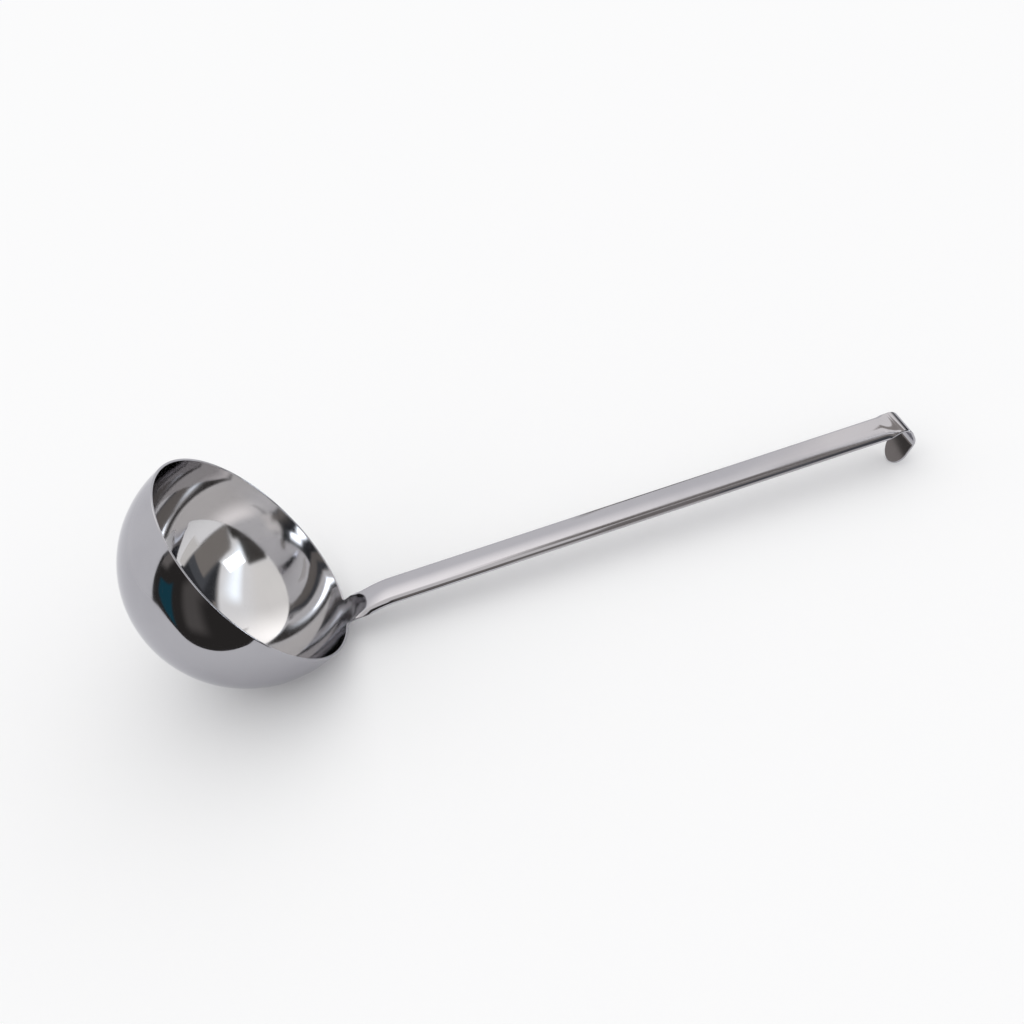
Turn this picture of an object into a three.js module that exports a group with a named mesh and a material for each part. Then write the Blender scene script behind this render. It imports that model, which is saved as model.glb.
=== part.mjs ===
// A soup ladle of polished sheet steel, in millimetres with +Z up.
// A deep drawn bowl carries a neck tab, and a pressed channel handle is butt welded to the tab.
// The handle's far end is pressed flat and bent over into a hanging hook.
// The ladle lies at rest on the side of its bowl and on the tip of its hook, with +X along the handle.

import * as THREE from "three";

// Sheet
const sheetThickness = 1.2;

// Bowl
const bowlDiameter = 120; // outside, at the rim
const bowlStraightWall = 3.7; // cylindrical stretch between the half sphere and the rim
const restFlatDepth = 0.25; // of the small flat that the bowl lies on, so that it lies still

// Neck, from the rim up to the straight handle
const neckHalfWidth = 8.75;
const neckFillet = 2; // in the corner between the rim and the neck's edge
const neckRise = 2.5; // straight on from the bowl's wall, before the bend
const neckBendRadius = 51;
const neckFormLength = 14; // over which the wall's hollow curve turns into the channel section
const handleLean = 62; // degrees between the handle and the plane of the rim

// Handle, a channel that is open underneath
const handleLength = 262.5; // the straight stretch
const crownRadius = 45;
const crownHalfWidth = 6.5;
const shoulderRadius = 2.6;
const shoulderTurn = 70; // degrees
const flangeDepth = 0.4;

// Hook, bent from the handle's flattened end
const flattenLength = 8;
const flattenLag = 5.5; // the pressing ends this far past the straight handle
const flattenDrop = 1.1; // the flat strip lies this much below the crown
const stripHalfWidth = 8.9;
const liftLength = 5.3;
const liftTurn = 6; // degrees, back upwards
const crestRadius = 6.5;
const crestTurn = 80; // degrees
const dropLength = 2.7;
const curlRadius = 6.7;
const curlTurn = 55; // degrees
const tongueLength = 14.8;
const tipLength = 9.5; // the rounded end of the tongue

// Weld between neck tab and handle, ground flush
const weldStation = 12; // from the rim, along the neck
const weldWidth = 2;
const weldClearance = 0.05;

// Facets
const bowlRows = 16;
const rimColumns = 48; // around the rim, outside the neck
const halfColumns = 8; // across half the strip
const filletRows = 4;
const longestRow = 2; // mm along the formed stretches
const rowsPerBend = 8;

const middleRadius = bowlDiameter / 2 - sheetThickness / 2;
const bearingRadius = bowlDiameter / 2 - restFlatDepth;
const neckTurn = 90 - handleLean;

// Walks along a chain of arcs and straights, and says how far forward and aside it gets.
function walk(pieces, distance) {
  let forward = 0;
  let aside = 0;
  let heading = 0;
  let left = distance;
  for (const piece of pieces) {
    const length = Math.min(left, piece.length);
    const half = (piece.curvature * length) / 2;
    const chord = half === 0 ? length : (length * Math.sin(half)) / half;
    forward += chord * Math.cos(heading + half);
    aside += chord * Math.sin(heading + half);
    heading += 2 * half;
    left -= length;
  }
  return { forward, aside, heading };
}

function straight(length) {
  return { length, curvature: 0, rows: 1 };
}

function bend(radius, degrees) {
  const turn = THREE.MathUtils.degToRad(degrees);
  return { length: radius * Math.abs(turn), curvature: Math.sign(turn) / radius, rows: rowsPerBend };
}

// The strip's centre line in the ladle's plane of symmetry, from the rim to the hook's tip
const lift = {
  length: liftLength,
  curvature: -THREE.MathUtils.degToRad(liftTurn) / liftLength,
  rows: rowsPerBend / 2,
};
const route = [
  straight(neckRise),
  bend(neckBendRadius, neckTurn),
  straight(handleLength),
  lift,
  bend(crestRadius, crestTurn),
  straight(dropLength),
  bend(curlRadius, curlTurn),
  straight(tongueLength),
];
const stripEnd = route.reduce((sum, piece) => sum + piece.length, 0);
const handleEnd = route[0].length + route[1].length + handleLength;
const flattenEnd = handleEnd + flattenLag;
const tipStart = stripEnd - tipLength;
const shoulderLength = shoulderRadius * THREE.MathUtils.degToRad(shoulderTurn);
const channelHalfWidth = crownHalfWidth + shoulderLength + flangeDepth;

// How far the section has become a channel, from 0 at the rim to 1, and back to 0 where it is flat
function neckFormed(station) {
  return THREE.MathUtils.smoothstep(station, 0, neckFormLength);
}

function flattened(station) {
  return THREE.MathUtils.smoothstep(station, flattenEnd - flattenLength, flattenEnd);
}

// Half the developed width of the strip, without the fillets at the rim and the rounding of the tip
function halfWidth(station) {
  const channel = THREE.MathUtils.lerp(neckHalfWidth, channelHalfWidth, neckFormed(station));
  return THREE.MathUtils.lerp(channel, stripHalfWidth, flattened(station));
}

// One point of the strip's middle surface, at a developed distance from the centre line
function stripPoint(station, distance) {
  const formed = neckFormed(station);
  const channel = 1 - flattened(station);
  const crown = (formed * channel) / crownRadius - (1 - formed) / middleRadius;
  const shoulder = crown + (formed * channel) / shoulderRadius;
  const section = walk(
    [
      { length: crownHalfWidth, curvature: crown },
      { length: shoulderLength, curvature: shoulder },
      { length: Infinity, curvature: crown },
    ],
    Math.abs(distance),
  );
  const side = Math.sign(distance);
  const centre = walk(route, station);
  const inward = new THREE.Vector3(-Math.cos(centre.heading), 0, Math.sin(centre.heading));
  const across = new THREE.Vector3(0, 1, 0);
  const point = new THREE.Vector3(middleRadius + centre.aside, 0, centre.forward);
  point.addScaledVector(inward, -section.aside - flattenDrop * flattened(station));
  point.addScaledVector(across, side * section.forward);
  const normal = inward.multiplyScalar(Math.cos(section.heading));
  normal.addScaledVector(across, side * Math.sin(section.heading));
  return { point, normal };
}

function bowlPoint(azimuth, polar, height) {
  const outward = new THREE.Vector3(
    Math.sin(polar) * Math.cos(azimuth),
    Math.sin(polar) * Math.sin(azimuth),
    -Math.cos(polar),
  );
  const point = outward.clone().multiplyScalar(middleRadius);
  point.z += height;
  return { point, normal: outward.negate() };
}

// A sheet metal piece: a middle surface of triangles that is thickened to both sides
class Sheet {
  middle = [];
  normals = [];
  triangles = [];

  add({ point, normal }) {
    this.normals.push(normal);
    return this.middle.push(point) - 1;
  }

  joinRows(lower, upper, closed = false) {
    const count = closed ? lower.length : lower.length - 1;
    for (let column = 0; column < count; column += 1) {
      const next = (column + 1) % lower.length;
      this.triangles.push([lower[column], upper[column], upper[next]]);
      this.triangles.push([lower[column], upper[next], lower[next]]);
    }
  }

  joinFan(row, apex, closed = false) {
    const count = closed ? row.length : row.length - 1;
    for (let column = 0; column < count; column += 1) {
      this.triangles.push([row[column], apex, row[(column + 1) % row.length]]);
    }
  }

  thicken() {
    const count = this.middle.length;
    const faces = [];
    const edges = new Set();
    for (const [a, b, c] of this.triangles) {
      faces.push(a, b, c, count + a, count + c, count + b);
      for (const edge of [`${a} ${b}`, `${b} ${c}`, `${c} ${a}`]) {
        edges.add(edge);
      }
    }
    for (const edge of edges) {
      const [a, b] = edge.split(" ").map(Number);
      if (!edges.has(`${b} ${a}`)) {
        faces.push(b, a, count + a, b, count + a, count + b);
      }
    }
    const positions = [];
    for (const side of [1, -1]) {
      this.middle.forEach((point, index) => {
        const offset = this.normals[index].clone().multiplyScalar((side * sheetThickness) / 2);
        positions.push(...offset.add(point).toArray());
      });
    }
    const geometry = new THREE.BufferGeometry();
    geometry.setAttribute("position", new THREE.Float32BufferAttribute(positions, 3));
    geometry.setIndex(faces);
    geometry.computeVertexNormals();
    return geometry;
  }
}

function stripRow(sheet, station, width) {
  const row = [];
  for (let column = -halfColumns; column <= halfColumns; column += 1) {
    row.push(sheet.add(stripPoint(station, (width * column) / halfColumns)));
  }
  return row;
}

// Stations from one place to another along the strip, with more of them where it is bent or formed
function stationsBetween(start, end) {
  const breaks = new Set([start, end]);
  let from = 0;
  for (const piece of route) {
    for (let row = 0; row <= piece.rows; row += 1) {
      breaks.add(from + (piece.length * row) / piece.rows);
    }
    from += piece.length;
  }
  for (const [first, last] of [[0, neckFormLength], [flattenEnd - flattenLength, flattenEnd]]) {
    const rows = Math.ceil((last - first) / longestRow);
    for (let row = 0; row <= rows; row += 1) {
      breaks.add(THREE.MathUtils.lerp(first, last, row / rows));
    }
  }
  const shortest = longestRow / 4;
  const inside = [...breaks].filter((station) => station > start + shortest && station < end - shortest);
  inside.sort((a, b) => a - b);
  const spaced = inside.filter((station, index) => index === 0 || station - inside[index - 1] > shortest);
  return [start, ...spaced, end];
}

function joinStations(sheet, firstRow, stations) {
  let lower = firstRow;
  for (const station of stations) {
    const upper = stripRow(sheet, station, halfWidth(station));
    sheet.joinRows(lower, upper);
    lower = upper;
  }
  return lower;
}

// Bowl: the half sphere, the straight wall, and the neck tab up to the weld
function bowlSheet() {
  const sheet = new Sheet();
  const neckAngle = (neckHalfWidth + neckFillet) / middleRadius;
  const azimuths = [];
  for (let column = -halfColumns; column <= halfColumns; column += 1) {
    azimuths.push((neckAngle * column) / halfColumns);
  }
  for (let column = 1; column < rimColumns; column += 1) {
    azimuths.push(THREE.MathUtils.lerp(neckAngle, 2 * Math.PI - neckAngle, column / rimColumns));
  }
  const ring = (polar, height) => azimuths.map((azimuth) => sheet.add(bowlPoint(azimuth, polar, height)));
  let lower = ring(Math.PI / 2 / bowlRows, -bowlStraightWall);
  const pole = sheet.add(bowlPoint(0, 0, -bowlStraightWall));
  sheet.joinFan([...lower].reverse(), pole, true);
  for (let row = 2; row <= bowlRows; row += 1) {
    const upper = ring((Math.PI / 2 / bowlRows) * row, -bowlStraightWall);
    sheet.joinRows(lower, upper, true);
    lower = upper;
  }
  const rim = ring(Math.PI / 2, 0);
  sheet.joinRows(lower, rim, true);
  let neck = rim.slice(0, 2 * halfColumns + 1);
  for (let row = 1; row <= filletRows; row += 1) {
    const turn = ((Math.PI / 2) * row) / filletRows;
    const station = neckFillet * (1 - Math.cos(turn));
    const upper = stripRow(sheet, station, halfWidth(station) + neckFillet * (1 - Math.sin(turn)));
    sheet.joinRows(neck, upper);
    neck = upper;
  }
  joinStations(sheet, neck, stationsBetween(neckFillet, weldStation - weldClearance).slice(1));
  return sheet;
}

// Handle: channel, flattened end and hook, with an elliptical tip
function handleSheet() {
  const sheet = new Sheet();
  const stations = stationsBetween(weldStation + weldWidth + weldClearance, tipStart);
  const first = stripRow(sheet, stations[0], halfWidth(stations[0]));
  let lower = joinStations(sheet, first, stations.slice(1));
  for (let row = 1; row < rowsPerBend; row += 1) {
    const turn = ((Math.PI / 2) * row) / rowsPerBend;
    const upper = stripRow(sheet, tipStart + tipLength * Math.sin(turn), stripHalfWidth * Math.cos(turn));
    sheet.joinRows(lower, upper);
    lower = upper;
  }
  sheet.joinFan(lower, sheet.add(stripPoint(stripEnd, 0)));
  return sheet;
}

function weldSheet() {
  const sheet = new Sheet();
  const first = stripRow(sheet, weldStation, halfWidth(weldStation));
  joinStations(sheet, first, [weldStation + weldWidth]);
  return sheet;
}

// The tilt at which the bowl's flat and the hook's tip touch the same level surface
function restTilt(geometry) {
  const place = geometry.getAttribute("position");
  let tilt = Infinity;
  for (let index = 0; index < place.count; index += 1) {
    const along = place.getX(index);
    const above = place.getZ(index) + bowlStraightWall;
    const reach = Math.hypot(along, above);
    if (reach > bearingRadius) {
      tilt = Math.min(tilt, Math.atan2(above, along) + Math.asin(bearingRadius / reach));
    }
  }
  return tilt;
}

// Presses the bowl's lowest place level, for the tilt at which the ladle lies
function pressRestFlat(geometry, tilt) {
  const down = new THREE.Vector3(Math.sin(tilt), 0, -Math.cos(tilt));
  const centre = new THREE.Vector3(0, 0, -bowlStraightWall);
  const place = geometry.getAttribute("position");
  const point = new THREE.Vector3();
  for (let index = 0; index < place.count; index += 1) {
    point.fromBufferAttribute(place, index);
    const below = point.clone().sub(centre).dot(down) - bearingRadius;
    if (below > 0) {
      point.addScaledVector(down, -below);
      place.setXYZ(index, point.x, point.y, point.z);
    }
  }
  geometry.computeVertexNormals();
}

const polishedSteel = { color: 0xb9b7bf, roughness: 0.12, metalness: 1 };
const groundSteel = { color: 0xaeacb4, roughness: 0.2, metalness: 1 };

function steelMesh(name, sheet, look) {
  const mesh = new THREE.Mesh(sheet.thicken(), new THREE.MeshStandardMaterial(look));
  mesh.name = name;
  return mesh;
}

const bowl = steelMesh("bowl", bowlSheet(), polishedSteel);
const handle = steelMesh("handle", handleSheet(), polishedSteel);
const neckWeld = steelMesh("neck_weld", weldSheet(), groundSteel);

// The ladle stands in its own frame around the rim's centre, and is then laid down
const ladle = new THREE.Group();
ladle.add(bowl, handle, neckWeld);
ladle.rotation.y = restTilt(handle.geometry);
pressRestFlat(bowl.geometry, ladle.rotation.y);
ladle.updateMatrixWorld(true);

const part = new THREE.Group();
part.add(ladle);
const box = new THREE.Box3().setFromObject(ladle, true);
ladle.position.set(-(box.min.x + box.max.x) / 2, 0, -box.min.z);

export default part;
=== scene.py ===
"""A soup ladle of mirror-polished sheet steel, lying on the side of its bowl and on the tip of its hook.

The shapes repeat the part's own formulas at a finer pitch and with rounded cut edges.
Shapes are worked out in millimetres in the ladle's own frame: the rim's centre is the origin, +z looks out of
the bowl and +x goes to the handle. They are then laid down into the row's frame, in metres.
"""

import math

import bpy
import numpy as np
from mathutils import Matrix, Vector


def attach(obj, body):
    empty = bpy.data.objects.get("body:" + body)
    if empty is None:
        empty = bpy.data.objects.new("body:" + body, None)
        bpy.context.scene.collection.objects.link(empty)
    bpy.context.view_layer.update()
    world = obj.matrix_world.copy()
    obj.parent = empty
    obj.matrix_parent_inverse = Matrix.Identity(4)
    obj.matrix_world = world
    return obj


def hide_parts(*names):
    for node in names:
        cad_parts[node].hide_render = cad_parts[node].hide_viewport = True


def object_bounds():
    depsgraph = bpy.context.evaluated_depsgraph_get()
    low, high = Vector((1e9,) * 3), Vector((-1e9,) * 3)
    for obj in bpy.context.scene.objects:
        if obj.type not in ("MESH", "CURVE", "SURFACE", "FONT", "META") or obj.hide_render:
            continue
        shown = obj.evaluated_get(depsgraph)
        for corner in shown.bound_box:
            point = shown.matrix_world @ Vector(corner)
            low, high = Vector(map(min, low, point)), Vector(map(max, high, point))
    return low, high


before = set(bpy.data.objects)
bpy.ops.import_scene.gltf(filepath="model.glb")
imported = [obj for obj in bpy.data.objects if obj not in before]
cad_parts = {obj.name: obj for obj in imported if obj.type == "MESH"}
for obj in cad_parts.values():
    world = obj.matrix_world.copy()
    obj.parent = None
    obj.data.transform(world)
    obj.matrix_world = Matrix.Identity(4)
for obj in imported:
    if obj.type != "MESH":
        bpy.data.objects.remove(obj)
cad_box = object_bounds()

METRE = 0.001  # one millimetre in metres

# Sheet
SHEET_THICKNESS = 1.2
EDGE_BULGE = 0.45  # how far the polished round of a cut edge stands out

# Bowl
BOWL_DIAMETER = 120.0
BOWL_STRAIGHT_WALL = 3.7
REST_FLAT_DEPTH = 0.25

# Neck
NECK_HALF_WIDTH = 8.75
NECK_FILLET = 2.0
NECK_RISE = 2.5
NECK_BEND_RADIUS = 51.0
NECK_FORM_LENGTH = 14.0
HANDLE_LEAN = 62.0

# Handle
HANDLE_LENGTH = 262.5
CROWN_RADIUS = 45.0
CROWN_HALF_WIDTH = 6.5
SHOULDER_RADIUS = 2.6
SHOULDER_TURN = 70.0
FLANGE_DEPTH = 0.4

# Hook
FLATTEN_LENGTH = 8.0
FLATTEN_LAG = 5.5  # how far past the straight handle the pressing ends
FLATTEN_DROP = 1.1
STRIP_HALF_WIDTH = 8.9
LIFT_LENGTH = 5.3
LIFT_TURN = 6.0
CREST_RADIUS = 6.5
CREST_TURN = 80.0
DROP_LENGTH = 2.7
CURL_RADIUS = 6.7
CURL_TURN = 55.0
TONGUE_LENGTH = 14.8
TIP_LENGTH = 9.5
TIP_LAST_TURN = 88.0  # degrees of the tip's quarter ellipse, just short of its point

# Weld
WELD_STATION = 12.0
WELD_WIDTH = 2.0

# Grid counts
BOWL_ROWS = 60
WALL_ROWS = 3
RIM_COLUMNS = 220
HALF_COLUMNS = 40
FILLET_ROWS = 10
TIP_ROWS = 20
EDGE_STEPS = 6
FORMED_STEP = 0.6
STRAIGHT_STEP = 5.0

MIDDLE_RADIUS = BOWL_DIAMETER / 2 - SHEET_THICKNESS / 2
BEARING_RADIUS = BOWL_DIAMETER / 2 - REST_FLAT_DEPTH


def bend(radius, degrees):
    """An arc's length and curvature."""
    turn = math.radians(degrees)
    return radius * turn, 1 / radius


# The strip's centre line from the rim to the hook's tip, as lengths and curvatures
ROUTE = [
    (NECK_RISE, 0.0),
    bend(NECK_BEND_RADIUS, 90 - HANDLE_LEAN),
    (HANDLE_LENGTH, 0.0),
    (LIFT_LENGTH, -math.radians(LIFT_TURN) / LIFT_LENGTH),
    bend(CREST_RADIUS, CREST_TURN),
    (DROP_LENGTH, 0.0),
    bend(CURL_RADIUS, CURL_TURN),
    (TONGUE_LENGTH, 0.0),
]
STRIP_END = sum(length for length, _ in ROUTE)
BEND_END = ROUTE[0][0] + ROUTE[1][0]
HANDLE_END = BEND_END + HANDLE_LENGTH
FLATTEN_END = HANDLE_END + FLATTEN_LAG
TIP_START = STRIP_END - TIP_LENGTH
SHOULDER_LENGTH = SHOULDER_RADIUS * math.radians(SHOULDER_TURN)
CHANNEL_HALF_WIDTH = CROWN_HALF_WIDTH + SHOULDER_LENGTH + FLANGE_DEPTH


def ease(value, low, high):
    """0 below low, 1 above high, and 3t^2 - 2t^3 between them."""
    share = np.clip((value - low) / (high - low), 0, 1)
    return share * share * (3 - 2 * share)


def walk(stretches, distance):
    """How far forward and aside a walk along arcs and straights gets, and which way it then heads.

    An arc of length s and curvature k turns by k s, and its chord is s sin(h) / h with h = k s / 2.
    """
    forward, aside, heading, left = 0.0, 0.0, 0.0, distance
    for length, curvature in stretches:
        run = np.minimum(left, length)
        half = curvature * run / 2
        chord = run * np.sinc(half / np.pi)
        forward = forward + chord * np.cos(heading + half)
        aside = aside + chord * np.sin(heading + half)
        heading = heading + 2 * half
        left = left - run
    return forward, aside, heading


def half_width(station):
    """Half the developed width of the strip: neck, then channel, then flat strip, eased into each other."""
    formed = ease(station, 0, NECK_FORM_LENGTH)
    flat = ease(station, FLATTEN_END - FLATTEN_LENGTH, FLATTEN_END)
    channel = NECK_HALF_WIDTH + (CHANNEL_HALF_WIDTH - NECK_HALF_WIDTH) * formed
    return channel + (STRIP_HALF_WIDTH - channel) * flat


def strip_point(station, distance):
    """A point of the strip's middle surface, from the way along the centre line and the way across.

    The section is a walk across: a crown arc, a shoulder arc and a flange. The crown starts as the bowl's
    concave curve and turns over into the channel's crown, and both curves fade where the end is pressed flat.
    The section stands square on the centre line, which is a walk along the route in the plane y = 0.
    """
    formed = ease(station, 0, NECK_FORM_LENGTH)
    flat = ease(station, FLATTEN_END - FLATTEN_LENGTH, FLATTEN_END)
    crown = formed * (1 - flat) / CROWN_RADIUS - (1 - formed) / MIDDLE_RADIUS
    shoulder = crown + formed * (1 - flat) / SHOULDER_RADIUS
    section = [(CROWN_HALF_WIDTH, crown), (SHOULDER_LENGTH, shoulder), (np.inf, crown)]
    across, sink, _ = walk(section, np.abs(distance))
    up, out, heading = walk(ROUTE, station)
    inward = -sink - FLATTEN_DROP * flat
    x = MIDDLE_RADIUS + out - np.cos(heading) * inward
    z = up + np.sin(heading) * inward
    return np.stack(np.broadcast_arrays(x, np.sign(distance) * across, z), axis=-1)


def unit(vectors):
    """Vectors scaled to length one."""
    return vectors / np.linalg.norm(vectors, axis=-1, keepdims=True)


def strip_surface(station, distance):
    """Points of the strip and their normals: the cross product of the slopes along and across."""
    step = 0.01
    along = strip_point(station + step, distance) - strip_point(station - step, distance)
    across = strip_point(station, distance + step) - strip_point(station, distance - step)
    return strip_point(station, distance), unit(np.cross(along, across))


def bowl_surface(azimuth, polar, height):
    """Points of the bowl's middle surface and their normals: a sphere around the axis, moved up by height."""
    radial = np.sin(polar)
    directions = np.stack(
        np.broadcast_arrays(radial * np.cos(azimuth), radial * np.sin(azimuth), -np.cos(polar)), axis=-1
    )
    lift = np.stack(np.broadcast_arrays(0.0 * azimuth, 0.0 * azimuth, height + 0.0 * azimuth), axis=-1)
    return MIDDLE_RADIUS * directions + lift, -directions


def stations_between(start, end):
    """Stations along the strip: close together where it is bent or formed, far apart where it is straight."""
    formed_end = max(NECK_FORM_LENGTH, BEND_END)
    straight_end = FLATTEN_END - FLATTEN_LENGTH
    stretches = [
        (start, min(end, formed_end), FORMED_STEP),
        (max(start, formed_end), min(end, straight_end), STRAIGHT_STEP),
        (max(start, straight_end), end, FORMED_STEP),
    ]
    runs = [
        np.linspace(low, high, math.ceil((high - low) / step) + 1)[1:]
        for low, high, step in stretches
        if high > low
    ]
    return np.concatenate([[start], *runs])


def quads_of(grid):
    """Four-sided faces between the rows and columns of a grid of point numbers."""
    corners = [grid[:-1, :-1], grid[1:, :-1], grid[1:, 1:], grid[:-1, 1:]]
    return np.stack(corners, axis=-1).reshape(-1, 4)


class Sheet:
    """A piece of sheet metal: a middle surface on grids, with a thickness and rounded free edges."""

    def __init__(self):
        self.points = np.zeros((0, 3))
        self.normals = np.zeros((0, 3))
        self.uv = np.zeros((0, 2))
        self.hollow_painted_light = np.zeros(0)
        self.grids = []
        self.fans = []
        self.free_edges = []
        self.ends = []

    def add(self, points, normals, uv, hollow_painted_light=0.0):
        """Adds a grid's points and returns their numbers, in the grid's own shape.

        The share given last says how much of the painted light on the bowl's inside a point has: brighter
        steel tones on the inner skin stand in for the light it reflects.
        """
        shape = points.shape[:-1]
        first = len(self.points)
        self.points = np.concatenate([self.points, points.reshape(-1, 3)])
        self.normals = np.concatenate([self.normals, normals.reshape(-1, 3)])
        self.uv = np.concatenate([self.uv, uv.reshape(-1, 2)])
        self.hollow_painted_light = np.concatenate([self.hollow_painted_light, np.broadcast_to(hollow_painted_light, shape).ravel()])
        return np.arange(first, len(self.points)).reshape(shape)

    def join(self, grid):
        """Fills a grid of point numbers with four-sided faces."""
        self.grids.append(quads_of(grid))

    def fan(self, pole, ring):
        """Closes a pole with three-sided faces from its point to the ring around it."""
        self.fans.append(np.stack([np.full(len(ring) - 1, pole), ring[:-1], ring[1:]], axis=-1))

    def mesh(self, name):
        """Makes the closed mesh: both skins, half-round strips along free edges, and flat butt ends.

        A skin is the middle surface moved by half the thickness along its normals. A free edge is half an
        ellipse from skin to skin: cos a of half the thickness along the normal, sin a of the bulge outwards.
        Its normal there is cos a over half the thickness and sin a over the bulge, scaled to length one.
        """
        count = len(self.points)
        half = SHEET_THICKNESS / 2
        layers = [self.points + half * self.normals, self.points - half * self.normals]
        layer_normals = [self.normals, -self.normals]
        layer_uv = [self.uv, self.uv]
        inner = np.concatenate(self.grids)
        faces = [inner, inner[:, ::-1] + count]
        for fan in self.fans:
            faces += [fan, fan[:, ::-1] + count]
        flat_faces = []
        total = 2 * count
        turns = np.linspace(0, np.pi, EDGE_STEPS + 1)[1:-1, None, None]
        edge_ends = {}
        for chain in self.free_edges:
            middle = self.points[chain]
            normal = self.normals[chain]
            outward = unit(np.cross(np.gradient(middle, axis=0), normal))
            strip = middle + half * np.cos(turns) * normal + EDGE_BULGE * np.sin(turns) * outward
            layers.append(strip.reshape(-1, 3))
            facing = unit(np.cos(turns) / half * normal + np.sin(turns) / EDGE_BULGE * outward)
            layer_normals.append(facing.reshape(-1, 3))
            layer_uv.append(np.tile(self.uv[chain], (EDGE_STEPS - 1, 1)))
            numbers = total + np.arange(strip.shape[0] * strip.shape[1]).reshape(strip.shape[:2])
            total += numbers.size
            ladder = np.concatenate([chain[None], numbers, chain[None] + count])
            faces.append(quads_of(ladder))
            edge_ends[chain[0]] = ladder[:, 0]
            edge_ends[chain[-1]] = ladder[:, -1]
        for row, faces_back in self.ends:
            quads = np.stack([row[:-1], row[:-1] + count, row[1:] + count, row[1:]], axis=-1)
            left = edge_ends[row[0]]
            right = edge_ends[row[-1]][::-1]
            caps = [quads, left[None], right[None]]
            flat_faces += [cap[:, ::-1] for cap in caps] if faces_back else caps
        points = lay_down(np.concatenate(layers))
        normals = turn_down(np.concatenate(layer_normals))
        # Painted light: only the first skin, the inside of the bowl and neck, gets the share of brighter
        # tones
        hollow_painted_light = np.zeros(len(points))
        hollow_painted_light[:count] = self.hollow_painted_light
        return closed_mesh(name, points, normals, np.concatenate(layer_uv), hollow_painted_light, faces, flat_faces)


def closed_mesh(name, points, normals, uv, hollow_painted_light, smooth_faces, flat_faces):
    """Puts points, faces, true normals, a UV map and the share of painted light on the bowl's inside into a
    new object at the origin.
    """
    groups = smooth_faces + flat_faces
    sizes = np.concatenate([np.full(len(group), group.shape[1]) for group in groups])
    corners = np.concatenate([group.ravel() for group in groups])
    smooth_count = sum(len(group) for group in smooth_faces)
    data = bpy.data.meshes.new(name)
    data.vertices.add(len(points))
    data.vertices.foreach_set("co", points.astype(np.float32).ravel())
    data.loops.add(len(corners))
    data.loops.foreach_set("vertex_index", corners.astype(np.int32))
    data.polygons.add(len(sizes))
    data.polygons.foreach_set("loop_start", np.concatenate([[0], np.cumsum(sizes)[:-1]]).astype(np.int32))
    data.polygons.foreach_set("use_smooth", np.arange(len(sizes)) < smooth_count)
    layer = data.uv_layers.new(name="UVMap")
    layer.uv.foreach_set("vector", uv[corners].astype(np.float32).ravel())
    # The share of painted light on the bowl's inside, for the material
    data.attributes.new("hollow_painted_light", "FLOAT", "POINT").data.foreach_set("value", hollow_painted_light.astype(np.float32))
    data.update(calc_edges=True)
    data.validate()
    data.normals_split_custom_set_from_vertices(normals.astype(np.float32))
    piece = bpy.data.objects.new(name, data)
    bpy.context.scene.collection.objects.link(piece)
    return piece


def strip_grid(sheet, stations, widths):
    """Adds rows across the strip at the given stations, each as wide as its width says."""
    share = np.linspace(-1, 1, 2 * HALF_COLUMNS + 1)
    station = stations[:, None] + 0 * share
    distance = widths[:, None] * share
    points, normals = strip_surface(station, distance)
    # Painted light: the bowl's brighter inside tones fade out along the neck up to the weld
    hollow_painted_light = 1 - ease(station, 0, WELD_STATION)
    return sheet.add(points, normals, np.stack([station, distance], axis=-1) * METRE, hollow_painted_light)


def bowl_sheet():
    """The half sphere and its straight wall, with the neck tab growing out of the rim up to the weld."""
    sheet = Sheet()
    neck_angle = (NECK_HALF_WIDTH - EDGE_BULGE + NECK_FILLET) / MIDDLE_RADIUS
    around = np.concatenate([
        neck_angle * np.linspace(-1, 1, 2 * HALF_COLUMNS + 1),
        np.linspace(neck_angle, 2 * np.pi - neck_angle, RIM_COLUMNS + 1)[1:-1],
    ])
    rim_height = -EDGE_BULGE
    polar = np.concatenate([np.linspace(0, np.pi / 2, BOWL_ROWS + 1)[1:], np.full(WALL_ROWS, np.pi / 2)])
    wall = np.linspace(-BOWL_STRAIGHT_WALL, rim_height, WALL_ROWS + 1)[1:]
    height = np.concatenate([np.full(BOWL_ROWS, -BOWL_STRAIGHT_WALL), wall])
    points, normals = bowl_surface(around[None], polar[:, None], height[:, None] + 0 * around)
    depth = (polar * MIDDLE_RADIUS + height + BOWL_STRAIGHT_WALL)[:, None] + 0 * around
    uv = np.stack([depth, around * MIDDLE_RADIUS + 0 * depth], axis=-1) * METRE
    # The bowl's inner skin takes the full painted light
    rings = sheet.add(points, normals, uv, 1.0)
    pole_point, pole_normal = bowl_surface(np.zeros(1), np.zeros(1), np.array([-BOWL_STRAIGHT_WALL]))
    pole = sheet.add(pole_point, pole_normal, np.zeros((1, 2)), 1.0)
    closed = np.concatenate([rings, rings[:, :1]], axis=1)
    sheet.join(closed)
    sheet.fan(pole[0], closed[0])
    turn = np.linspace(0, np.pi / 2, FILLET_ROWS + 1)[1:]
    fillet_stations = rim_height + NECK_FILLET * (1 - np.cos(turn))
    fillet_widths = half_width(fillet_stations) - EDGE_BULGE + NECK_FILLET * (1 - np.sin(turn))
    stations = stations_between(fillet_stations[-1], WELD_STATION)[1:]
    tab = strip_grid(
        sheet,
        np.concatenate([fillet_stations, stations]),
        np.concatenate([fillet_widths, half_width(stations) - EDGE_BULGE]),
    )
    last = 2 * HALF_COLUMNS
    neck = np.concatenate([rings[-1:, : last + 1], tab])
    sheet.join(neck)
    sheet.free_edges.append(np.concatenate([neck[:0:-1, -1], rings[-1, last:], neck[:, 0]]))
    sheet.ends.append((neck[-1], False))
    return sheet


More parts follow.
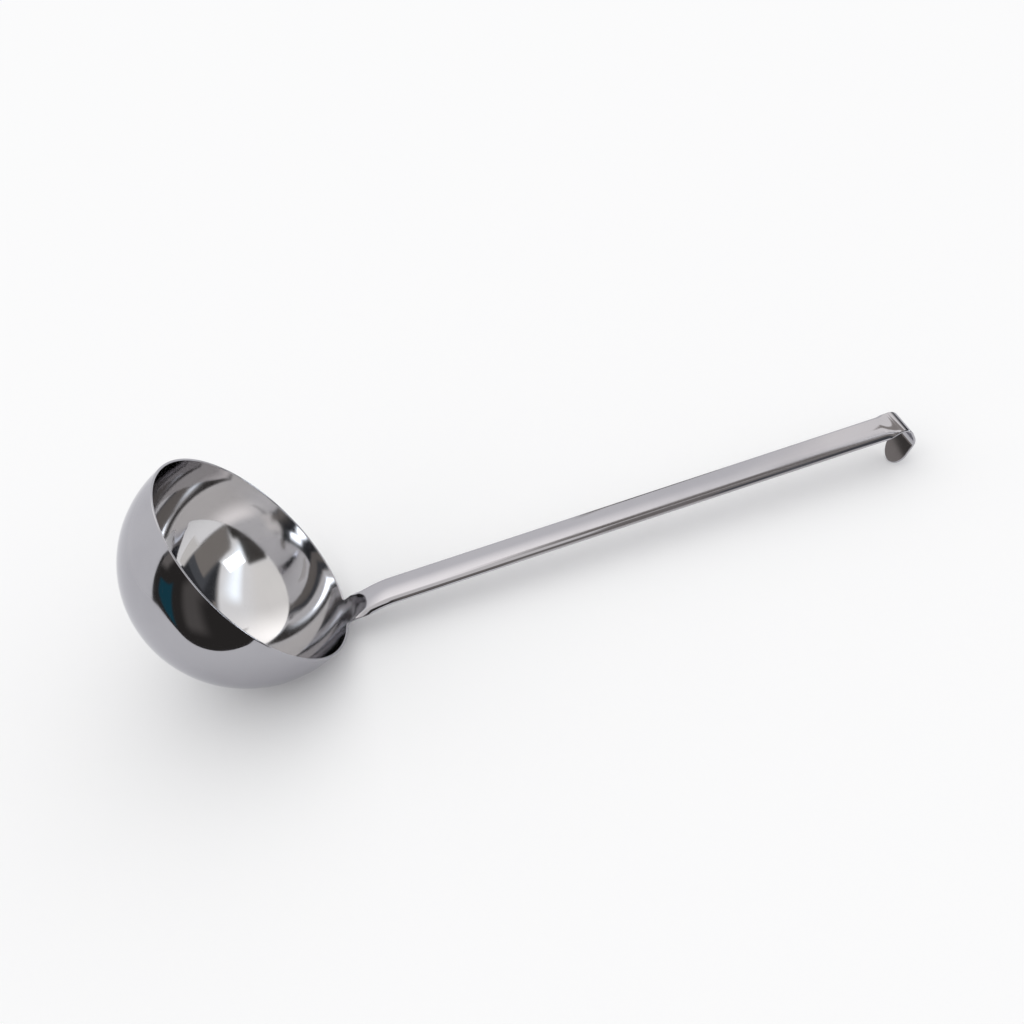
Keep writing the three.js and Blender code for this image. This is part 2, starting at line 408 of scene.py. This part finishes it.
def handle_sheet():
    """The channel from the weld on, its flattened end and the hook, with an elliptical tip."""
    sheet = Sheet()
    stations = stations_between(WELD_STATION + WELD_WIDTH, TIP_START)
    turn = np.linspace(0, math.radians(TIP_LAST_TURN), TIP_ROWS + 1)[1:]
    tip_stations = TIP_START + (TIP_LENGTH - EDGE_BULGE) * np.sin(turn)
    tip_widths = (STRIP_HALF_WIDTH - EDGE_BULGE) * np.cos(turn)
    grid = strip_grid(
        sheet,
        np.concatenate([stations, tip_stations]),
        np.concatenate([half_width(stations) - EDGE_BULGE, tip_widths]),
    )
    sheet.join(grid)
    sheet.free_edges.append(np.concatenate([grid[:, 0], grid[-1, 1:-1], grid[::-1, -1]]))
    sheet.ends.append((grid[0], True))
    return sheet


def weld_sheet():
    """The weld between neck tab and handle, ground flush with both."""
    sheet = Sheet()
    stations = stations_between(WELD_STATION, WELD_STATION + WELD_WIDTH)
    grid = strip_grid(sheet, stations, half_width(stations) - EDGE_BULGE)
    sheet.join(grid)
    sheet.free_edges.append(grid[:, 0])
    sheet.free_edges.append(grid[::-1, -1])
    sheet.ends.append((grid[0], True))
    sheet.ends.append((grid[-1], False))
    return sheet


def rest_tilt():
    """The turn about y at which the bowl's flat and the hook's tip touch the same level surface."""
    tip, normal = strip_surface(np.full(2, STRIP_END), np.zeros(2))
    tip = tip + np.array([[0.5], [-0.5]]) * SHEET_THICKNESS * normal
    above = tip[:, 2] + BOWL_STRAIGHT_WALL
    reach = np.hypot(tip[:, 0], above)
    return np.min(np.arctan2(above, tip[:, 0]) + np.arcsin(BEARING_RADIUS / reach))


TILT = rest_tilt()
LEVEL = np.array([math.cos(TILT), 0, math.sin(TILT)])  # the row's +x, in the ladle's own frame
UPRIGHT = np.array([-math.sin(TILT), 0, math.cos(TILT)])  # the row's +z, in the ladle's own frame
BOWL_CENTRE_X = cad_box[0][0] / METRE + BOWL_DIAMETER / 2


def lay_down(points):
    """Turns the ladle's own frame into the row's frame, and presses the small flat that the bowl lies on."""
    centred = points + np.array([0, 0, BOWL_STRAIGHT_WALL])
    x = centred @ LEVEL + BOWL_CENTRE_X
    z = np.maximum(centred @ UPRIGHT + BEARING_RADIUS, 0)
    return np.stack([x, points[:, 1], z], axis=-1) * METRE


def turn_down(vectors):
    """Turns directions from the ladle's own frame into the row's frame."""
    return np.stack([vectors @ LEVEL, vectors[:, 1], vectors @ UPRIGHT], axis=-1)


bowl = bowl_sheet().mesh("polished_bowl")
handle = handle_sheet().mesh("polished_handle")
neck_weld = weld_sheet().mesh("polished_neck_weld")

for piece, node, slot in (
    (bowl, "bowl", "bowl_steel"),
    (handle, "handle", "handle_steel"),
    (neck_weld, "neck_weld", "weld_steel"),
):
    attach(piece, "root")
    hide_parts(node)


class Look:
    """One material's nodes. A value made here takes Python's operators, and each adds one Math node."""

    def __init__(self, name):
        self.material = bpy.data.materials.new(name)
        self.material.use_nodes = True
        self.tree = self.material.node_tree
        self.tree.nodes.clear()

    def node(self, kind, settings=None, sockets=None, output=0):
        """Adds a node, sets it up, fills or links its sockets, and returns one of its outputs."""
        made = self.tree.nodes.new(kind)
        for key, value in (settings or {}).items():
            setattr(made, key, value)
        for key, value in (sockets or {}).items():
            if isinstance(value, Value):
                self.tree.links.new(value.socket, made.inputs[key])
            else:
                made.inputs[key].default_value = value
        return Value(self, made.outputs[output]) if made.outputs else None

    def mixed(self, share, first, second):
        """A colour between two others: the first at share 0, the second at share 1."""
        return self.node("ShaderNodeMix", {"data_type": "RGBA"}, {
            "Factor": share, "A": first, "B": second,
        }, "Result")

    def faded(self, value, start, end):
        """0 where a value is at the start, 1 where it is at the end, and a smooth step between."""
        return self.node("ShaderNodeMapRange", {"interpolation_type": "SMOOTHSTEP"}, {
            "Value": value, "From Min": start, "From Max": end,
        })


class Value:
    """A node's output that can be added and multiplied, with values and with numbers."""

    def __init__(self, look, socket):
        self.look = look
        self.socket = socket

    def maths(self, operation, other=0.0):
        """Adds one Math node that works on this value and another."""
        return self.look.node("ShaderNodeMath", {"operation": operation}, {0: self, 1: other})

    def __add__(self, other):
        return self.maths("ADD", other)

    def __mul__(self, other):
        return self.maths("MULTIPLY", other)

    __radd__ = __add__
    __rmul__ = __mul__


# Steel: a pale and a deep tone each, between which the wear goes. The bowl's outside tones are a little
# darker than the handle's, which is painted shade, and the tones of its inside are much brighter, which is
# painted light
STEEL_TONES = ((0.455, 0.446, 0.473, 1), (0.42, 0.412, 0.44, 1))
BOWL_STEEL_AND_SHADE_TONES = ((0.425, 0.42, 0.447, 1), (0.39, 0.385, 0.412, 1))
HOLLOW_PAINTED_LIGHT_TONES = ((0.62, 0.612, 0.622, 1), (0.57, 0.562, 0.575, 1))
STEEL_EDGE = (0.68, 0.68, 0.70, 1)  # keeps the steel from whitening where it is seen edge on
BOWL_EDGE = (0.88, 0.88, 0.90, 1)
BOWL_ROUGHNESS = (0.05, 0.11)  # where it is clean and where it is marked
HANDLE_ROUGHNESS = (0.06, 0.13)
WELD_ROUGHNESS = (0.07, 0.13)

# Polishing lines, as noise scales along and across the sheet
AROUND_LINES = (1800.0, 25.0, 1.0)
ALONG_LINES = (12.0, 1800.0, 1.0)
LINE_DETAIL = 2.0
LINE_HEIGHT = 6.0e-7
LINE_SHARE = 0.3  # of the wear; hand marks are the rest

# Hand marks, waves and dry spots
MARK_SCALE = 24.0
MARK_DETAIL = 5.0
MARK_GRAIN = 0.62
MARK_FADE = (0.38, 0.72)  # noise values between which a mark comes up
WAVE_SCALE = 30.0
WAVE_DETAIL = 1.0
WAVE_HEIGHT = 2.2e-5
STAIN_COLOUR = (0.33, 0.31, 0.30, 1)
STAIN_CELLS = 75.0
STAIN_SIZE = 0.055
STAIN_CORE = 0.4  # share of a spot that is at full strength
STAIN_LUCK = 0.95  # a cell has a spot where its random number is above this
STAIN_STRENGTH = 0.6
STAIN_DULLING = 0.2


def polished_steel(name, line_scale, tones, edge_tint, roughness_range):
    """Mirror-polished sheet: hand marks that dull it, fine polishing lines, slight waves and a few dry spots,
    and brighter steel tones on the bowl's inside that are painted light.

    The polishing lines are noise on the sheet's own way along and across, drawn out along one of the two.
    """
    clean, marked = roughness_range
    look = Look(name)
    place = look.node("ShaderNodeTexCoord", output="Object")
    sheet = look.node("ShaderNodeUVMap", {"uv_map": "UVMap"})
    smudge = look.node("ShaderNodeTexNoise", None, {
        "Vector": place, "Scale": MARK_SCALE, "Detail": MARK_DETAIL, "Roughness": MARK_GRAIN,
    })
    marks = look.faded(smudge, *MARK_FADE)
    drawn = look.node("ShaderNodeMapping", None, {"Vector": sheet, "Scale": line_scale})
    lines = look.node("ShaderNodeTexNoise", None, {"Vector": drawn, "Scale": 1.0, "Detail": LINE_DETAIL})
    waves = look.node("ShaderNodeTexNoise", None, {
        "Vector": place, "Scale": WAVE_SCALE, "Detail": WAVE_DETAIL,
    })
    cell = {"Vector": place, "Scale": STAIN_CELLS}
    middle_distance = look.node("ShaderNodeTexVoronoi", None, cell, "Distance")
    cell_colour = look.node("ShaderNodeTexVoronoi", None, cell, "Color")
    luck = look.node("ShaderNodeSeparateColor", None, {"Color": cell_colour}, "Red")
    round_spot = look.faded(middle_distance, STAIN_SIZE, STAIN_CORE * STAIN_SIZE)
    spot = round_spot * luck.maths("GREATER_THAN", STAIN_LUCK)
    wear = marks * (1 - LINE_SHARE) + lines * LINE_SHARE
    # Painted light: where this share is, the steel takes the brighter tones of the bowl's inside
    hollow_painted_light = look.node("ShaderNodeAttribute", {"attribute_name": "hollow_painted_light"}, output="Fac")
    steel = look.mixed(hollow_painted_light, look.mixed(wear, *tones), look.mixed(wear, *HOLLOW_PAINTED_LIGHT_TONES))
    colour = look.mixed(spot * STAIN_STRENGTH, steel, STAIN_COLOUR)
    roughness = marks * (marked - clean) + spot * STAIN_DULLING + clean
    relief = look.node("ShaderNodeBump", None, {
        "Height": waves * WAVE_HEIGHT + lines * LINE_HEIGHT, "Strength": 1.0, "Distance": 1.0,
    })
    shader = look.node("ShaderNodeBsdfPrincipled", None, {
        "Base Color": colour,
        "Metallic": 1.0,
        "Specular Tint": edge_tint,
        "Roughness": roughness,
        "Normal": relief,
    })
    look.node("ShaderNodeOutputMaterial", None, {"Surface": shader})
    return look.material


for piece, polish in (
    (bowl, polished_steel("bowl_polish", AROUND_LINES, BOWL_STEEL_AND_SHADE_TONES, BOWL_EDGE, BOWL_ROUGHNESS)),
    (handle, polished_steel("handle_polish", ALONG_LINES, STEEL_TONES, STEEL_EDGE, HANDLE_ROUGHNESS)),
    (neck_weld, polished_steel("weld_polish", ALONG_LINES, STEEL_TONES, STEEL_EDGE, WELD_ROUGHNESS)),
):
    piece.data.materials.append(polish)

# Studio, in metres
FLOOR_HALF = 1.6
FLOOR_WHITE = (0.965, 0.965, 0.97, 1)
CARD_COLUMNS = 32
CARD_ROWS = 8


def smooth_line(points, count):
    """A line through the given points: a cubic between each two, with slopes taken from their neighbours."""
    points = np.array(points, dtype=float)
    slope = np.gradient(points, axis=0)
    place = np.linspace(0, len(points) - 1, count)
    low = np.minimum(place.astype(int), len(points) - 2)
    t = (place - low)[:, None]
    ends = points[low] * (1 + 2 * t) * (1 - t) ** 2 + points[low + 1] * t ** 2 * (3 - 2 * t)
    return ends + slope[low] * t * (1 - t) ** 2 - slope[low + 1] * t ** 2 * (1 - t)


def stage_sheet(name, edges, look):
    """A stage sheet between a lower and an upper edge, whose UV map runs from -1 to 1 both ways."""
    lower, upper = (smooth_line(edge, CARD_COLUMNS + 1) for edge in edges)
    rise = np.linspace(0, 1, CARD_ROWS + 1)[:, None, None]
    points = (1 - rise) * lower + rise * upper
    numbers = np.arange(points.size // 3).reshape(points.shape[:2])
    quads = quads_of(numbers)[:, [0, 3, 2, 1]]
    data = bpy.data.meshes.new(name)
    data.from_pydata(points.reshape(-1, 3), [], quads)
    across = np.linspace(-1, 1, CARD_COLUMNS + 1)
    up = np.linspace(-1, 1, CARD_ROWS + 1)[:, None]
    uv = np.stack(np.broadcast_arrays(across, up), axis=-1).reshape(-1, 2)
    layer = data.uv_layers.new(name="UVMap")
    layer.uv.foreach_set("vector", uv[quads.ravel()].astype(np.float32).ravel())
    made = bpy.data.objects.new(name, data)
    bpy.context.scene.collection.objects.link(made)
    data.materials.append(look.material)
    return made


def level_edges(left, right, front, back, height):
    """The edges of a level sheet."""
    return [(left, front, height), (right, front, height)], [(left, back, height), (right, back, height)]


floor_look = Look("floor_white")
white = floor_look.node("ShaderNodeBsdfDiffuse", None, {"Color": FLOOR_WHITE})
floor_look.node("ShaderNodeOutputMaterial", None, {"Surface": white})
stage_sheet("floor", level_edges(-FLOOR_HALF, FLOOR_HALF, -FLOOR_HALF, FLOOR_HALF, 0), floor_look)


def card(name, edges, colour, strength, feather):
    """A card that only the polished metal sees, with soft edges: the feather is a share of its half size."""
    look = Look(name)
    sheet = look.node("ShaderNodeUVMap", {"uv_map": "UVMap"})
    parts = [look.node("ShaderNodeSeparateXYZ", None, {"Vector": sheet}, axis) for axis in ("X", "Y")]
    soft = [look.faded(part.maths("ABSOLUTE"), 1.0, 1.0 - width) for part, width in zip(parts, feather)]
    clear = look.node("ShaderNodeBsdfTransparent")
    glow = look.node("ShaderNodeEmission", None, {"Color": (*colour, 1), "Strength": strength})
    shown = look.node("ShaderNodeMixShader", None, {0: soft[0] * soft[1], 1: clear, 2: glow})
    look.node("ShaderNodeOutputMaterial", None, {"Surface": shown})
    made = stage_sheet(name, edges, look)
    made.visible_camera = False
    made.visible_diffuse = False
    made.visible_shadow = False


def upright_edges(*places):
    """The edges of an upright card, from the x and y of its places and its lowest and highest z there."""
    return [(x, y, low) for x, y, low, _ in places], [(x, y, high) for x, y, _, high in places]


BOWL_EYE = Vector((-0.15, 0.0, 0.04))  # the place in the bowl that sighted cards face


def sighted_edges(azimuth, elevation, distance, reach_aside, reach_up):
    """The edges of a card that faces the bowl, from its sight angles in degrees and its distance."""
    turn, rise = math.radians(azimuth), math.radians(elevation)
    away = Vector((math.cos(rise) * math.cos(turn), math.cos(rise) * math.sin(turn), math.sin(rise)))
    aside = Vector((-math.sin(turn), math.cos(turn), 0)) * reach_aside
    above = away.cross(aside).normalized() * reach_up
    middle = BOWL_EYE + away * distance
    return [middle - aside - above, middle + aside - above], [middle - aside + above, middle + aside + above]


ROOM_DARK = (0.9, 0.95, 1.05)
ROOM_BROWN = (1.08, 1.0, 0.93)
ROOM_TEAL = (0.2, 1.0, 1.4)
WINDOW_BLUE = (0.93, 1.0, 1.06)
CEILING_WARM = (1.02, 1.0, 0.97)

# Ceiling
card("ceiling", level_edges(-1.3, 0.3, -1.3, 0.8, 1.0), CEILING_WARM, 0.95, (0.4, 0.4))
# Dark room in front of the bowl, along the curved front edge of the white floor
card("room_left", upright_edges(
    (-1.7, -0.12, -0.3, 1.3), (-1.2, -0.19, -0.2, 0.95), (-0.784, -0.182, -0.15, 0.66),
    (-0.45, -0.145, -0.1, 0.38), (-0.3, -0.116, -0.06, 0.26), (-0.235, -0.115, -0.05, 0.2),
    (-0.19, -0.132, -0.04, 0.16), (-0.14, -0.168, -0.03, 0.13), (-0.05, -0.225, -0.02, 0.1),
), ROOM_BROWN, 0.04, (0.05, 0.45))
# A coloured cloth, a lighter wall and a shelf in that room
card("room_cloth", upright_edges(
    (-1.05, -0.178, 0.2, 0.38), (-0.65, -0.16, 0.06, 0.25),
    (-0.42, -0.13, 0.03, 0.18), (-0.3, -0.108, 0.02, 0.16),
), ROOM_TEAL, 0.085, (0.35, 0.2))
card("room_wall", upright_edges(
    (-1.4, -0.17, 0.6, 1.15), (-0.45, -0.135, 0.22, 0.4),
), ROOM_BROWN, 0.22, (0.4, 0.6))
card("room_shelf", upright_edges(
    (-0.268, -0.107, 0.03, 0.17), (-0.2, -0.121, 0.03, 0.14),
), ROOM_BROWN, 0.13, (0.8, 0.5))
# Dark room beyond the right-hand edge of the white ceiling
card("room_right", upright_edges(
    (1.06, -1.35, -0.4, 0.95), (0.62, 0.50, -0.4, 0.95),
), ROOM_DARK, 0.045, (0.08, 0.3))
# Narrow dark gap between the white panels at the back
card("room_gap", upright_edges(
    (1.45, 1.2, 0, 4.0), (1.28, 1.4, 0, 4.0),
), ROOM_DARK, 0.14, (0.6, 0.3))
# Dark room in front of the handle, and the pale table edge before it
card("room_front", (
    [(-0.09, -0.23, 0.0), (0.75, -0.4, 0.0)], [(-0.06, -0.2, 0.11), (0.65, -0.12, 0.5)],
), ROOM_DARK, 0.1, (0.1, 0.4))
card("table_edge", (
    [(-0.03, -0.085, -0.02), (0.21, -0.085, -0.02)], [(-0.03, -0.09, 0.042), (0.21, -0.09, 0.048)],
), CEILING_WARM, 0.75, (0.2, 0.5))
# Grey canopy over the handle, which the bowl sees edge on
card("canopy_front", (
    [(0.03, -0.32, 0.12), (0.5, -0.35, 0.54)], [(0.03, -0.03, 0.19), (0.5, -0.02, 0.60)],
), ROOM_BROWN, 0.28, (0.1, 0.15))
card("canopy_back", (
    [(-0.07, 0.01, 0.09), (0.36, -0.05, 0.47)], [(-0.07, 0.05, 0.1), (0.36, 0.33, 0.52)],
), ROOM_BROWN, 0.26, (0.5, 0.12))
# Low grey wall in front of the handle's bend
card("room_low", (
    [(-0.1, -0.13, 0.02), (0.12, -0.15, 0.03)], [(-0.1, -0.085, 0.085), (0.12, -0.09, 0.16)],
), ROOM_BROWN, 0.23, (0.15, 0.3))
# Small flag beside the hook's crest
card("flag", (
    [(0.213, 0.074, 0.084), (0.245, 0.053, 0.068)], [(0.212, 0.075, 0.110), (0.245, 0.053, 0.083)],
), ROOM_BROWN, 0.4, (0.2, 0.35))
# White panel behind the hook
card("bounce", upright_edges(
    (0.25, 0.6, 0.1, 0.8), (0.6, 0.35, 0.1, 0.8),
), CEILING_WARM, 1.22, (0.6, 0.5))
# Tall dark patch towards the camera
card("room_camera", sighted_edges(-84, 22, 0.6, 0.13, 0.25), ROOM_BROWN, 0.06, (0.35, 0.25))
# Painted shade: dark cards low behind the handle, which the hook's tongue faces, darkest at their top,
# standing in for the shaded floor and handle underside that the tongue reflects
card("painted_shade_behind_handle", upright_edges(
    (0.02, 0.06, -0.03, 0.06), (0.14, 0.18, -0.03, 0.06),
), ROOM_BROWN, 0.3, (0.3, 0.3))
card("painted_shade_behind_handle_dark", upright_edges(
    (0.045, 0.08, 0.033, 0.06), (0.115, 0.15, 0.039, 0.06),
), ROOM_BROWN, 0.07, (0.5, 0.3))
# Bright strip along the ceiling's edge, and two lamps
card("window", (
    [(0.30, -1.9, 0.38), (0.30, -0.02, 0.38)], [(0.28, -1.9, 1.0), (0.28, -0.02, 0.98)],
), WINDOW_BLUE, 1.7, (0.25, 1.0))
card("lamp", sighted_edges(-59, 31, 0.8, 0.135, 0.09), WINDOW_BLUE, 4.0, (0.1, 0.1))
card("lamp_low", sighted_edges(6, 9, 0.75, 0.14, 0.08), WINDOW_BLUE, 5.0, (0.3, 0.3))
# Soft light over the back
card("softbox", level_edges(-0.9, 0.55, -0.05, 0.95, 0.75), CEILING_WARM, 1.65, (0.9, 1.0))

scene = bpy.context.scene
scene.view_settings.view_transform = "Standard"
world = bpy.data.worlds.new("studio")
world.use_nodes = True
scene.world = world
background = world.node_tree.nodes["Background"]
background.inputs["Color"].default_value = (1, 1, 1, 1)
background.inputs["Strength"].default_value = 1.0

# Camera
CAMERA_PLACE = (-34.06, -438.70, 406.95)
CAMERA_HEADING = 85.905  # degrees from +x towards +y
CAMERA_DIP = 40.319
CAMERA_ROLL = -14.443
CAMERA_LENS = 40.957
CAMERA_FILM = 36.0
CAMERA_SHIFT = (-0.01834, 0.00651)


def place_camera():
    """A camera that looks along the heading and down by the dip, and leans by the roll."""
    heading, dip, roll = (math.radians(a) for a in (CAMERA_HEADING, CAMERA_DIP, CAMERA_ROLL))
    forward = Vector((math.cos(dip) * math.cos(heading), math.cos(dip) * math.sin(heading), -math.sin(dip)))
    level = Vector((math.sin(heading), -math.cos(heading), 0))
    above = level.cross(forward)
    right = level * math.cos(roll) + above * math.sin(roll)
    up = above * math.cos(roll) - level * math.sin(roll)
    data = bpy.data.cameras.new("camera")
    data.sensor_width = CAMERA_FILM
    data.lens = CAMERA_LENS
    data.shift_x, data.shift_y = CAMERA_SHIFT
    camera = bpy.data.objects.new("camera", data)
    turned = Matrix((right, up, -forward)).transposed().to_4x4()
    camera.matrix_world = Matrix.Translation(Vector(CAMERA_PLACE) * METRE) @ turned
    scene.collection.objects.link(camera)
    scene.camera = camera


place_camera()
